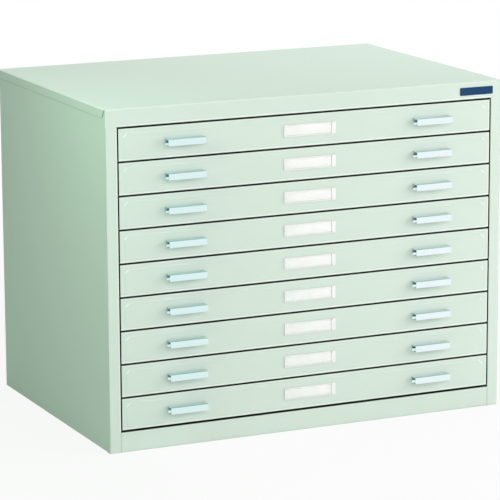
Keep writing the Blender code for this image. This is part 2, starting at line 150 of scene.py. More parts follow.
def angle_setting(name, description, degrees):
    """An angle, given in degrees and kept in radians."""
    return bpy.props.FloatProperty(
        name=name, description=description, default=math.radians(degrees), subtype="ANGLE")


def power_setting(name, description, default):
    """A lamp's power in watts."""
    return bpy.props.FloatProperty(
        name=name, description=description, default=default, unit="POWER", min=0)


class EnamelSettings(bpy.types.PropertyGroup):
    colour: colour_setting(
        "Colour", "Enamel on the shell and drawers", default=(0.696, 0.800, 0.738, 1))
    # Painted highlight: the fold colour paints folds, edges and the gaps' sides paler, as highlights; the
    # shares below set how much of it shows.
    fold_highlight_colour: colour_setting(
        "Fold colour", "Thinner, paler enamel along folds and edges", default=(0.96, 1.0, 0.97, 1))
    # Painted highlight beside the gaps round the drawers, and on the folds right under them.
    gap_highlight_share: share_setting(
        "Gap paleness", "How much of the fold colour shows along the gaps round the drawers",
        default=0.55)
    under_gap_highlight_share: share_setting(
        "Under paleness", "Share of that paleness on the folds right under a gap", default=0.45)
    gap_reach: length_setting(
        "Gap reach", "How far from a gap the paler enamel beside it reaches",
        default=0.0030, low=0.0005, high=0.01)
    gap_mouth: length_setting(
        "Gap mouth", "How far behind the front the dark of a gap begins",
        default=0.0004, low=0.0001, high=0.002)
    side_gap: length_setting(
        "Side gap", "Width of the gaps between the drawers and the stiles",
        default=0.0025, low=0.0005, high=0.01)
    # Painted highlight along all other edges.
    fold_highlight_share: share_setting(
        "Fold paleness", "How much of the fold colour shows along all other edges", default=0.25)
    crease_colour: colour_setting(
        "Crease colour", "Shade that gathers in gaps, seams and inner corners",
        default=(0.006, 0.008, 0.004, 1))
    crease_reach: length_setting(
        "Crease reach", "How far the shade in a crease reaches", default=0.008, low=0.001, high=0.05)
    crease_share: share_setting(
        "Crease share", "Strength of the shade on the front, away from the gaps", default=0.05)
    side_crease_share: share_setting(
        "Side crease share", "Strength of the shade on the sides, under the top's flange", default=0.55)
    flange_reach: length_setting(
        "Flange reach", "How far below the top the shade under its flange shows",
        default=0.060, low=0.01, high=0.2)
    # Painted highlight along the top's front fold.
    top_fold_highlight_share: share_setting(
        "Top paleness", "How much of the fold colour shows along the top's front fold", default=0.25)
    gap_depth: length_setting(
        "Gap depth", "How far behind the front the gaps round the drawers are dark",
        default=0.020, low=0.001, high=0.05)
    roughness: share_setting("Roughness", "Roughness of the baked enamel", default=0.40)
    edge_radius: length_setting(
        "Edge radius", "Softening of folds and cut edges under the enamel",
        default=0.0005, low=0.0002, high=0.005)
    fold_reach: length_setting(
        "Fold reach", "How far from an edge the paler enamel reaches",
        default=0.0024, low=0.0002, high=0.005)


class PullSettings(bpy.types.PropertyGroup):
    colour: colour_setting(
        "Colour", "Bright satin metal of the pulls", default=(0.735, 0.915, 0.915, 1))
    # Painted light: the pulls on the right are painted paler, as if more light falls on them.
    right_colour: colour_setting(
        "Right colour", "The same metal on the right, where more light falls",
        default=(0.875, 0.965, 0.985, 1))
    # Painted reflection: the front of the pull's top is painted a darker blue-green, as the drawer front
    # mirrored in it.
    ledge_reflection_colour: colour_setting(
        "Ledge colour", "Worn, bluer metal on top, where fingers rest", default=(0.44, 0.66, 0.70, 1))
    # Painted shade: the metal deep inside the pull is painted dark, where it is shut in.
    hollow_shade_colour: colour_setting(
        "Hollow colour", "Dull metal deep inside the pull", default=(0.10, 0.22, 0.26, 1))
    hollow_shade_reach: length_setting(
        "Hollow reach", "How far the dullness inside the pull reaches",
        default=0.018, low=0.002, high=0.05)
    sheet: length_setting(
        "Sheet", "Thickness of the pull's metal", default=0.0015, low=0.0005, high=0.003)
    fold: length_setting(
        "Fold radius", "Outer radius of the pull's folds", default=0.0024, low=0.0016, high=0.006)
    plate: length_setting(
        "Back plate", "Height of the plate that lies on the drawer front",
        default=0.0157, low=0.005, high=0.018)
    lip: length_setting(
        "Finger lip", "Depth of the lip that the fingers hook behind",
        default=0.0095, low=0.003, high=0.015)
    edge: length_setting("Edge", "Rounding of the cut edges", default=0.0003, low=0.0001, high=0.0006)


class CardFrameSettings(bpy.types.PropertyGroup):
    colour: colour_setting(
        "Colour", "Ivory plastic of the card frames", default=(0.925, 0.915, 0.93, 1))
    # Painted shade: the small holes and corners of the frame are painted dark, where they are shut in.
    recess_shade_colour: colour_setting(
        "Recess colour", "Dust in the small holes and corners of the frame",
        default=(0.22, 0.24, 0.22, 1))
    card_colour: colour_setting(
        "Card colour", "Blank card behind the window", default=(1.0, 0.99, 1.0, 1))
    rim: length_setting(
        "Rim", "Width of the frame round the card", default=0.0022, low=0.001, high=0.005)
    grip: length_setting(
        "Grip end", "Width of the solid end on the right", default=0.0105, low=0.003, high=0.02)
    pocket: length_setting(
        "Pocket", "Depth of the pocket that holds the card", default=0.0016, low=0.0008, high=0.0025)
    corner: length_setting(
        "Corner radius", "Rounding of the frame's four corners", default=0.0012, low=0.0003, high=0.004)
    edge: length_setting(
        "Edge", "Rounding of the moulded edges", default=0.0004, low=0.0001, high=0.0008)
    relief: length_setting(
        "Relief", "Radius of the small holes at the pocket's right corners",
        default=0.0011, low=0.0002, high=0.002)
    relief_depth: length_setting(
        "Relief depth", "Depth of those holes", default=0.0019, low=0.0005, high=0.003)
    play: length_setting(
        "Play", "Room left round the card and its window", default=0.00012, low=0.00005, high=0.001)
    card: length_setting("Card", "Thickness of the blank card", default=0.0004, low=0.0001, high=0.001)
    window: length_setting(
        "Window", "Thickness of the clear window", default=0.0005, low=0.0002, high=0.001)


class RailPlateSettings(bpy.types.PropertyGroup):
    colour: colour_setting(
        "Colour", "Dark enamel of the bare plate on the top rail", default=(0.008, 0.052, 0.148, 1))
    width: length_setting("Width", "Width of the plate", default=0.087, low=0.02, high=0.2)
    height: length_setting("Height", "Height of the plate", default=0.0185, low=0.005, high=0.03)
    depth: length_setting(
        "Depth", "How far the plate stands off the rail", default=0.0012, low=0.0005, high=0.003)
    corner: length_setting(
        "Corner radius", "Rounding of the plate's corners", default=0.0025, low=0.0005, high=0.008)
    from_side: length_setting(
        "From side", "From the cabinet's right side to the plate", default=0.024, low=0, high=0.3)
    from_top: length_setting(
        "From top", "From the cabinet's top to the middle of the plate",
        default=0.0218, low=0.01, high=0.04)


class WeldSettings(bpy.types.PropertyGroup):
    height: length_setting(
        "Height", "Height of the dressed weld between rail and stile",
        default=0.0056, low=0.001, high=0.01)
    inset: length_setting(
        "Inset", "From the stile's rounded folds to the weld's ends", default=0.0020, low=0, high=0.004)
    under_rail: length_setting(
        "Under rail", "From the top drawer's upper edge up to the joint",
        default=0.0034, low=0, high=0.01)
    root: length_setting(
        "Root", "How deep the weld reaches into the joint", default=0.0002, low=0.0001, high=0.002)
    proud: length_setting(
        "Proud", "How far the dressed weld stands off the sheet",
        default=0.00012, low=0.00002, high=0.001)


class KickJointSettings(bpy.types.PropertyGroup):
    # Painted shade: this colour is darker than the enamel and is painted over the joint between kick rail
    # and stile, as the shade in that joint.
    colour: colour_setting(
        "Colour", "Enamel that has run into the joint", default=(0.547, 0.686, 0.589, 1))
    width: length_setting(
        "Width", "Width of the filled joint between kick rail and stile",
        default=0.0034, low=0.001, high=0.01)


class ScrewSettings(bpy.types.PropertyGroup):
    radius: length_setting(
        "Head radius", "Radius of the screw heads inside the drawers",
        default=0.0034, low=0.001, high=0.006)
    height: length_setting(
        "Head height", "Height of the screw heads", default=0.0019, low=0.0005, high=0.004)
    spacing: length_setting(
        "Spacing", "From one screw of a pull to the other", default=0.060, low=0.02, high=0.08)


class StageSettings(bpy.types.PropertyGroup):
    camera_place: bpy.props.FloatVectorProperty(
        name="Camera place", description="Where the camera stands", subtype="TRANSLATION",
        unit="LENGTH", default=(-2.8132, -6.1187, 1.7940))
    camera_yaw: angle_setting(
        "Camera yaw", "Turn of the camera to the right of straight ahead", degrees=24.7170)
    camera_pitch: angle_setting("Camera pitch", "Tilt of the camera above the horizon", degrees=-12.0178)
    camera_roll: angle_setting(
        "Camera roll", "Roll of the camera about its own line of sight", degrees=-0.2722)
    lens: bpy.props.FloatProperty(
        name="Lens", description="Focal length of the camera in millimetres", default=206.37)
    key_power: power_setting("Key light", "Large softbox in front and above", default=89.3)
    right_power: power_setting("Right light", "Softbox close to the right of the front", default=39.7)
    top_power: power_setting("Top light", "Softbox over the cabinet", default=32.0)
    side_power: power_setting(
        "Side light", "Small softbox close to the left side's front edge", default=6.7)
    room_light: bpy.props.FloatProperty(
        name="Room light", description="Even light from the whole room", min=0, default=0.12)
    room_colour: colour_setting(
        "Room colour", "Tint of the room's even light", default=(0.5, 1, 0.58, 1))
    floor_radius: bpy.props.FloatProperty(
        name="Floor radius", description="Radius of the floor", unit="LENGTH", min=2, default=14)


# Modelling

def start_modelling():
    """Leaves nothing selected, so that a new piece is alone."""
    bpy.ops.object.select_all(action="DESELECT")


def select_alone(piece):
    """Makes the piece active, with nothing else selected."""
    start_modelling()
    bpy.context.view_layer.objects.active = piece
    piece.select_set(True)


def add_block(name, low, high):
    """A block between two corners, left in edit mode to be shaped."""
    start_modelling()
    bpy.ops.mesh.primitive_cube_add(size=1, location=(low + high) / 2)
    block = bpy.context.object
    block.name = name
    bpy.ops.object.mode_set(mode="EDIT")
    bpy.ops.transform.resize(value=high - low)
    return block


def pick(piece, parts, test):
    """Selects, in edit mode, the faces, edges or vertices that pass the test."""
    bpy.ops.mesh.select_mode(type={"faces": "FACE", "edges": "EDGE", "verts": "VERT"}[parts])
    bpy.ops.mesh.select_all(action="DESELECT")
    mesh = bmesh.from_edit_mesh(piece.data)
    for part in getattr(mesh, parts):
        part.select_set(test(part))
    bmesh.update_edit_mesh(piece.data)


def push_out(move):
    """Extrudes what is selected by the move."""
    bpy.ops.mesh.extrude_region_move(TRANSFORM_OT_translate={"value": move})


def faces_front(face):
    return face.normal.dot(TO_FRONT) > FACING


def on_front_rim(vert):
    """Whether only some of the faces round the vertex look to the front."""
    return len({faces_front(face) for face in vert.link_faces}) == 2


def runs_along(edge, axis):
    """Whether the edge lies along the world axis numbered 0, 1 or 2."""
    line = (edge.verts[1].co - edge.verts[0].co).normalized()
    return abs(line[axis]) > ALONG


def apply_modifier(piece, kind, **settings):
    """Adds a modifier of this kind with its settings, and applies it to the mesh."""
    modifier = piece.modifiers.new(kind.title(), kind)
    for name, value in settings.items():
        setattr(modifier, name, value)
    bpy.ops.object.modifier_apply(modifier=modifier.name)


def cut_away(piece, cutter):
    """Cuts the cutter's shape out of the piece, and removes the cutter."""
    select_alone(piece)
    apply_modifier(piece, "BOOLEAN", object=cutter, operation="DIFFERENCE", solver="EXACT")
    bpy.data.objects.remove(cutter)


def settle():
    """Leaves edit mode, and puts the active piece's place in its mesh."""
    bpy.ops.object.mode_set(mode="OBJECT")
    bpy.ops.object.transform_apply(location=True, rotation=True, scale=True)


def finish_mesh(piece):
    """Puts the piece's place in its mesh, turns its faces outwards and smooths its round edges."""
    bpy.ops.object.mode_set(mode="EDIT")
    bpy.ops.mesh.select_all(action="SELECT")
    bpy.ops.mesh.normals_make_consistent(inside=False)
    settle()
    bpy.ops.object.shade_smooth_by_angle(angle=SMOOTH_ANGLE)
    return piece


def copy_piece(piece, name, offset):
    """A copy with its own mesh, moved by the offset."""
    select_alone(piece)
    bpy.ops.object.duplicate_move(TRANSFORM_OT_translate={"value": offset})
    copy = bpy.context.object
    copy.name = name
    bpy.ops.object.transform_apply(location=True, rotation=False, scale=False)
    return copy


def give_finish(piece, finish):
    piece.data.materials.clear()
    piece.data.materials.append(finish)


def offset_between(node, other):
    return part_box(other)[0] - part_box(node)[0]


# Finishes

class Wire:
    """An output in a node tree; sums on it add the nodes that work them out."""

    def __init__(self, nodes, socket):
        self.nodes = nodes
        self.socket = socket

    def work(self, operation, first, second):
        kind = "ShaderNodeVectorMath" if self.socket.type == "VECTOR" else "ShaderNodeMath"
        return self.nodes.add(kind, {"operation": operation}, {0: first, 1: second})

    def __add__(self, other):
        return self.work("ADD", self, other)

    __radd__ = __add__

    def __sub__(self, other):
        return self.work("SUBTRACT", self, other)

    def __rsub__(self, other):
        return self.work("SUBTRACT", other, self)

    def __mul__(self, other):
        return self.work("MULTIPLY", self, other)

    __rmul__ = __mul__


class NodeSheet:
    """The node tree of one finish, light or world."""

    def __init__(self, owner):
        owner.use_nodes = True
        self.tree = owner.node_tree
        self.tree.nodes.clear()

    def add(self, kind, settings=None, inputs=None, output=None):
        """Adds a node: its settings first, then its sockets' values or wires; returns one output."""
        node = self.tree.nodes.new(kind)
        for name, value in (settings or {}).items():
            setattr(node, name, value)
        for key, value in (inputs or {}).items():
            if isinstance(value, Wire):
                self.tree.links.new(value.socket, node.inputs[key])
            else:
                node.inputs[key].default_value = value
        if output is None:
            return Wire(self, next((s for s in node.outputs if s.enabled), None))
        return Wire(self, node.outputs[output])

    def object_place(self):
        return self.add("ShaderNodeTexCoord", output="Object")

    def facing(self):
        """The direction that the surface faces, along the object's own axes."""
        return self.add("ShaderNodeTexCoord", output="Normal")

    def parts_of(self, vector):
        """The vector's three parts, one after another."""
        return [self.add("ShaderNodeSeparateXYZ", {}, {0: vector}, output=axis) for axis in "XYZ"]

    def wrapped(self, value, pitch):
        """The value less whole pitches, so that it lies within half a pitch of nought."""
        ends = {0: value, 1: pitch / 2, 2: -pitch / 2}
        return self.add("ShaderNodeMath", {"operation": "WRAP"}, ends)

    def size_of(self, value):
        return self.add("ShaderNodeMath", {"operation": "ABSOLUTE"}, {0: value})

    def greater(self, first, second):
        return self.add("ShaderNodeMath", {"operation": "MAXIMUM"}, {0: first, 1: second})

    def noise(self, place, scale, detail=2.0):
        return self.add("ShaderNodeTexNoise", {}, {"Vector": place, "Scale": scale, "Detail": detail})

    def stretched(self, place, scale):
        """The place scaled unevenly, so that a pattern on it runs along one axis."""
        return self.add("ShaderNodeMapping", {}, {"Vector": place, "Scale": scale})

    def blend(self, share, first, second):
        """A colour between two colours."""
        return self.add("ShaderNodeMix", {"data_type": "RGBA"}, {0: share, 6: first, 7: second}, output=2)

    def uneven(self, share, colour, darkest, palest):
        """The colour times a factor that the share takes from the darkest to the palest."""
        return self.blend(share, shade(colour, darkest), shade(colour, palest))

    def spread(self, value, low, high, start, end):
        """The value from low to high, spread over start to end."""
        ends = {"From Min": low, "From Max": high, "To Min": start, "To Max": end}
        return self.add("ShaderNodeMapRange", {}, {"Value": value} | ends)

    def band(self, value, low, high, soft):
        """One where the value lies between low and high, with soft ends outside them."""
        return self.spread(value, low - soft, low, 0, 1) * self.spread(value, high, high + soft, 1, 0)

    def bump(self, height, depth, normal=None):
        inputs = {"Height": height, "Distance": depth}
        if normal is not None:
            inputs["Normal"] = normal
        return self.add("ShaderNodeBump", {}, inputs)

    def rounded(self, radius):
        """The surface's direction with its edges rounded."""
        return self.add("ShaderNodeBevel", {"samples": 8}, {"Radius": radius})

    def near_edge(self, reach):
        """Nought on flat faces, and more the nearer an edge lies within the reach."""
        flat = self.add("ShaderNodeNewGeometry", output="Normal")
        inputs = {0: self.rounded(reach), 1: flat}
        return 1 - self.add("ShaderNodeVectorMath", {"operation": "DOT_PRODUCT"}, inputs, output="Value")

    def openness(self, reach):
        """One in the open, and less the closer a surface is shut in within the reach."""
        return self.add("ShaderNodeAmbientOcclusion", {"samples": 12}, {"Distance": reach}, output="AO")

    def seen_directly(self):
        """One for what the camera sees, straight or in a reflection or through glass."""
        rays = ("Is Camera Ray", "Is Glossy Ray", "Is Transmission Ray")
        camera, glossy, through = (self.add("ShaderNodeLightPath", output=ray) for ray in rays)
        clamped = {"operation": "ADD", "use_clamp": True}
        return self.add("ShaderNodeMath", clamped, {0: camera, 1: glossy + through})

    def surface(self, **sockets):
        """Ends the tree in a Principled shader; a name's underscores stand for spaces."""
        inputs = {name.replace("_", " "): value for name, value in sockets.items()}
        shader = self.add("ShaderNodeBsdfPrincipled", {}, inputs)
        self.add("ShaderNodeOutputMaterial", {}, {"Surface": shader})


def shade(colour, factor):
    """The colour times a factor, fully opaque."""
    return tuple(min(1, part * factor) for part in colour[:3]) + (1,)


def beside_gaps(nodes, place, settings):
    """Where the painted highlight beside the gaps goes: one on the front right beside the drawers' gaps,
    and nought farther away than the gap's reach.
    """
    first_low, first_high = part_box("drawer_front_1")
    second_high, last_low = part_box("drawer_front_2")[1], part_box(f"drawer_front_{len(DRAWERS)}")[0]
    gap, reach, soft = first_low.z - second_high.z, settings.gap_reach, settings.gap_reach / 4
    pitch, opening_side = first_high.z - second_high.z, first_high.x + settings.side_gap
    x, y, z = nodes.parts_of(place)
    reach_over, reach_under = reach * 1.2, reach * 0.7
    over_line = nodes.wrapped(z - (first_high.z + gap / 2), pitch)
    by_line = nodes.band(over_line, gap / 2 + soft * 2, gap / 2 + reach_over, soft * 2)
    by_line += nodes.band(over_line, -gap / 2 - reach_under, 0, soft) * settings.under_gap_highlight_share
    by_line *= nodes.spread(nodes.size_of(x), opening_side, opening_side + soft, 1, 0)
    by_post = nodes.band(x, -opening_side - reach, -opening_side, soft)
    by_post += nodes.band(x, first_high.x - reach, first_high.x, soft)
    by_post *= nodes.spread(z, first_high.z + gap, first_high.z + gap + soft, 1, 0)
    lowest = last_low.z - gap
    beside = nodes.greater(by_line, by_post) * nodes.spread(z, lowest - reach, lowest - soft, 0, 1)
    return beside * nodes.spread(y, first_low.y + reach, first_low.y + reach + soft, 1, 0)


def along_top_fold(nodes, place, settings):
    """Where the painted highlight along the top's front fold goes: one on the fold between the top and its
    rail.
    """
    corner_low, corner_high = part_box("top_panel")
    reach, soft = settings.fold_reach, settings.fold_reach / 5
    y, z = nodes.parts_of(place)[1:]
    before = nodes.spread(y, corner_low.y + reach, corner_low.y + reach + soft, 1, 0)
    return before * nodes.spread(z, corner_high.z - reach, corner_high.z - reach + soft, 0, 1)


def crease_depth(nodes, place, settings):
    """How strongly the painted shade in a crease darkens: fully inside the gaps, less on the sides and
    least on the front.
    """
    front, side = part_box("top_panel")[0].y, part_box("drawer_front_1")[1].x
    mouth, depth, flange = settings.gap_mouth, settings.gap_depth, settings.flange_reach
    x, y, z = nodes.parts_of(place)
    from_middle = nodes.size_of(x)
    behind = nodes.spread(y, front + mouth, front + mouth * 2, 0, 1)
    inside = behind * nodes.spread(y, front + depth, front + depth * 1.25, 1, 0)
    inside *= nodes.spread(from_middle, side + depth / 3, side + depth / 2, 1, 0)
    outer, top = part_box("top_panel")[1].x - settings.fold_reach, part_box("top_panel")[1].z
    on_sides = settings.side_crease_share
    under_top = nodes.spread(from_middle, outer, outer + settings.fold_reach / 2, 0, on_sides)
    under_top *= nodes.spread(z, top - flange, top - flange * 0.8, 0, 1)
    return nodes.greater(inside, nodes.greater(under_top, settings.crease_share))


def corner_slope(nodes):
    """Where a painted highlight goes: one on the small slopes that cut off the upper corners of a drawer's
    raised field.
    """
    x, _, z = nodes.parts_of(nodes.facing())
    return nodes.spread(nodes.size_of(x) * z, *CORNER_TILT, 0, 1)


def start_finish(name):
    """A new finish, its node tree, and the place on the object by which its patterns lie."""
    finish = bpy.data.materials.new(name)
    nodes = NodeSheet(finish)
    return finish, nodes, nodes.object_place()


def clouded(nodes, place, colour):
    """The enamel's slow clouds, and its colour a little uneven by them and by fine flecks."""
    cloud = nodes.noise(place, CLOUD_SCALE)
    tone = cloud * 0.7 + nodes.noise(place, FLECK_SCALE) * 0.3
    return cloud, nodes.uneven(tone, colour, darkest=0.982, palest=1.018)


def enamel(name, settings):
    """Baked enamel: a hint of cloudiness and peel, with painted highlights along edges and beside the gaps,
    and painted shade down in the gaps, creases and under the top's flange.
    """
    finish, nodes, place = start_finish(name)
    cloud, body = clouded(nodes, place, settings.colour)
    # Painted highlights: the fold colour along edges, beside the gaps, along the top's front fold and on
    # the field's cut corners.
    fold = nodes.spread(nodes.near_edge(settings.fold_reach), *EDGE_TILT, 0, 1) * settings.fold_highlight_share
    lining = beside_gaps(nodes, place, settings) * settings.gap_highlight_share
    ridge = along_top_fold(nodes, place, settings) * settings.top_fold_highlight_share
    pale = nodes.greater(nodes.greater(fold, lining), nodes.greater(ridge, corner_slope(nodes)))
    edged = nodes.blend(pale, body, settings.fold_highlight_colour)
    # Painted shade: the crease colour down in the gaps and creases and under the top's flange, where they
    # are shut in.
    crease = nodes.spread(nodes.openness(settings.crease_reach), *CREASE_OPENNESS, 1, 0)
    crease *= crease_depth(nodes, place, settings)
    rounded = nodes.rounded(settings.edge_radius)
    peel = nodes.bump(nodes.noise(place, PEEL_SCALE), PEEL_DEPTH, rounded)
    nodes.surface(
        Base_Color=nodes.blend(crease, edged, settings.crease_colour),
        Roughness=cloud * 0.08 + (settings.roughness - 0.04),
        Specular_IOR_Level=ENAMEL_GLOSS,
        Normal=peel,
    )
    return finish


def plain_enamel(name, colour, roughness):
    """The same enamel without edges or gaps, for joints that are filled and dressed flush."""
    finish, nodes, place = start_finish(name)
    cloud, body = clouded(nodes, place, colour)
    nodes.surface(
        Base_Color=body,
        Roughness=cloud * 0.08 + (roughness - 0.04),
        Specular_IOR_Level=ENAMEL_GLOSS,
        Normal=nodes.bump(nodes.noise(place, PEEL_SCALE), PEEL_DEPTH),
    )
    return finish


def zinc(name):
    """Zinc-plated steel with a faint crystal pattern."""
    finish, nodes, place = start_finish(name)
    cells = {"Vector": place, "Scale": CRYSTAL_SCALE}
    crystals = nodes.add("ShaderNodeTexVoronoi", {}, cells, output="Color")
    crystal = nodes.add("ShaderNodeSeparateColor", {}, {"Color": crystals})
    haze = nodes.noise(place, ZINC_HAZE_SCALE)
    nodes.surface(
        Base_Color=nodes.blend(crystal * 0.6 + haze * 0.4, DARK_ZINC, PALE_ZINC),
        Metallic=1,
        Roughness=crystal * 0.14 + haze * 0.12 + 0.24,
        Normal=nodes.bump(crystal, FINE_DEPTH),
    )
    return finish


def satin_metal(name, settings):
    """Bright metal with fine lines along the pull, painted paler on the right as painted light, with a
    painted reflection on the front of its top and painted shade deep inside.
    """
    finish, nodes, place = start_finish(name)
    lines = nodes.noise(nodes.stretched(place, PULL_LINES), 1, 3)
    haze = nodes.noise(place, PULL_HAZE_SCALE)
    low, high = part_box("pull_left_1")
    across, back = nodes.parts_of(place)[:2]
    # Painted light: paler metal towards the right.
    rightward = nodes.spread(across, low.x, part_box("pull_right_1")[1].x, 0, 1)
    tone = nodes.blend(rightward, settings.colour, settings.right_colour)
    grain = nodes.blend(lines * 0.7 + haze * 0.3, shade(WHITE, 0.95), WHITE)
    multiply = {"data_type": "RGBA", "blend_type": "MULTIPLY"}
    bright = nodes.add("ShaderNodeMix", multiply, {0: 1, 6: tone, 7: grain}, output=2)
    # Painted reflection on the front of the pull's top.
    upward = nodes.spread(nodes.parts_of(nodes.facing())[2], *UPWARD_TILT, 0, 1)
    forward = nodes.spread(back, (low.y * 2 + high.y) / 3, (low.y + high.y) / 2, 1, 0)
    topped = nodes.blend(upward * forward, bright, settings.ledge_reflection_colour)
    # Painted shade deep inside the pull.
    hollow = nodes.spread(nodes.openness(settings.hollow_shade_reach), *PULL_OPENNESS, 1, 0) * (1 - upward)
    nodes.surface(
        Base_Color=nodes.blend(hollow, topped, settings.hollow_shade_colour),
        Metallic=1,
        Roughness=lines * 0.06 + 0.08,
        Normal=nodes.bump(lines, LINE_DEPTH),
    )
    return finish


def ivory_plastic(name, settings):
    """Moulded plastic with a fine matt grain, with painted shade in its small holes and corners."""
    finish, nodes, place = start_finish(name)
    grain = nodes.noise(place, MATT_SCALE)
    haze = nodes.noise(place, IVORY_HAZE_SCALE)
    ivory = nodes.uneven(haze, settings.colour, darkest=0.985, palest=1.015)
    # Painted shade in the small holes and corners.
    shut_in = nodes.spread(nodes.openness(settings.relief * 3), *RECESS_SHADE_OPENNESS, 1, 0)
    nodes.surface(
        Base_Color=nodes.blend(shut_in, ivory, settings.recess_shade_colour),
        Roughness=haze * 0.12 + 0.34,
        Normal=nodes.bump(grain, FINE_DEPTH),
    )
    return finish


def blank_card(name, settings):
    """White card with its fibres along the drawer."""
    finish, nodes, place = start_finish(name)
    fibres = nodes.noise(nodes.stretched(place, CARD_FIBRES), 1, 3)
    nodes.surface(
        Base_Color=nodes.uneven(fibres, settings.card_colour, darkest=0.985, palest=1.01),
        Roughness=fibres * 0.1 + 0.8,
        Normal=nodes.bump(fibres, FIBRE_DEPTH),
    )
    return finish


def clear_plastic(name):
    """A clear window of which little but its gloss shows."""
    finish, nodes, place = start_finish(name)
    smear = nodes.noise(place, SMEAR_SCALE)
    nodes.surface(
        Base_Color=nodes.blend(smear, DULL_CLEAR, BRIGHT_CLEAR),
        Roughness=smear * 0.08 + 0.06,
        Alpha=smear * 0.06 + 0.08,
        IOR=WINDOW_IOR,
    )
    return finish


def plate_enamel(name, settings):
    """Dark glossy enamel on the bare plate."""
    finish, nodes, place = start_finish(name)
    cloud = nodes.noise(place, PLATE_CLOUD_SCALE)
    nodes.surface(
        Base_Color=nodes.uneven(cloud, settings.colour, darkest=0.92, palest=1.08),
        Roughness=cloud * 0.1 + 0.3,
        Normal=nodes.bump(nodes.noise(place, PLATE_PEEL_SCALE), FINE_DEPTH),
        Specular_IOR_Level=PLATE_GLOSS,
    )
    return finish


def pale_floor(name, shadow_share=0.12, near=0.9, far=2.6):
    """Floor that is white to the camera and keeps a soft shadow near the cabinet."""
    finish, nodes, place = start_finish(name)
    away = nodes.add("ShaderNodeVectorMath", {"operation": "LENGTH"}, {0: place}, output="Value")
    distant = nodes.spread(away, near, far, 1 - shadow_share, 1)
    lit = nodes.add("ShaderNodeBsdfDiffuse", {}, {"Color": FLOOR_GREY})
    white = nodes.add("ShaderNodeEmission", {}, {"Color": WHITE, "Strength": 1})
    floor = nodes.add("ShaderNodeMixShader", {}, {0: nodes.seen_directly() * distant, 1: lit, 2: white})
    nodes.add("ShaderNodeOutputMaterial", {}, {"Surface": floor})
    return finish


# Pieces

class MAPCABINET_OT_finish_nodes(bpy.types.Operator):
    """Give the shell and drawers their enamel and the hidden runners their zinc"""

    bl_idname = "map_cabinet.finish_nodes"
    bl_label = "Finish Shell and Drawers"

    def execute(self, context):
        paint = enamel("body_enamel", context.scene.cabinet_enamel)
        plating = zinc("zinc_plating")
        for name in PAINTED_SHELL:
            give_finish(frame["nodes"][name], paint)
        for name in ZINC_INSIDES:
            give_finish(frame["nodes"][name], plating)
        for drawer in DRAWERS:
            number = number_of(drawer)
            give_finish(frame["nodes"][f"drawer_front_{number}"], paint)
            give_finish(frame["nodes"][f"drawer_tray_{number}"], paint)
        return {"FINISHED"}


class MAPCABINET_OT_make_pulls(bpy.types.Operator):
    """Fold the finger pulls from bright sheet, two on each drawer"""

    bl_idname = "map_cabinet.make_pulls"
    bl_label = "Make Pulls"

    def execute(self, context):
        settings = context.scene.cabinet_pull
        pattern = self.fold_pull(settings, *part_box("pull_left_1"))
        give_finish(pattern, satin_metal("satin_metal", settings))
        for drawer in DRAWERS:
            for side in ("left", "right"):
                node = f"pull_{side}_{number_of(drawer)}"
                pull = copy_piece(pattern, "finger_" + node, offset_between("pull_left_1", node))
                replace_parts(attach(pull, drawer), node)
        bpy.data.objects.remove(pattern)
        return {"FINISHED"}

    def fold_pull(self, settings, low, high):
        """The pull's outer skin from back plate over web and face to lip, then its thickness."""
        start_modelling()
        middle = Vector(((low.x + high.x) / 2, high.y, high.z - settings.plate / 2))
        bpy.ops.mesh.primitive_plane_add(size=1, location=middle, rotation=(math.pi / 2, 0, 0))
        pull = bpy.context.object
        pull.name = "pull_pattern"
        bpy.ops.object.mode_set(mode="EDIT")
        bpy.ops.transform.resize(value=(high.x - low.x, 1, settings.plate))
        pick(pull, "edges", lambda edge: all(
            (pull.matrix_world @ vert.co).z > middle.z for vert in edge.verts))
        for move in ((0, low.y - high.y, 0), (0, 0, low.z - high.z), (0, settings.lip, 0)):
            push_out(move)
        pick(pull, "edges", lambda edge: len(edge.link_faces) == 2)
        bpy.ops.mesh.bevel(offset=settings.fold, segments=6, affect="EDGES")
        settle()
        apply_modifier(pull, "SOLIDIFY", thickness=settings.sheet, offset=1)
        apply_modifier(pull, "BEVEL", width=settings.edge, segments=2, angle_limit=math.radians(60))
        return finish_mesh(pull)


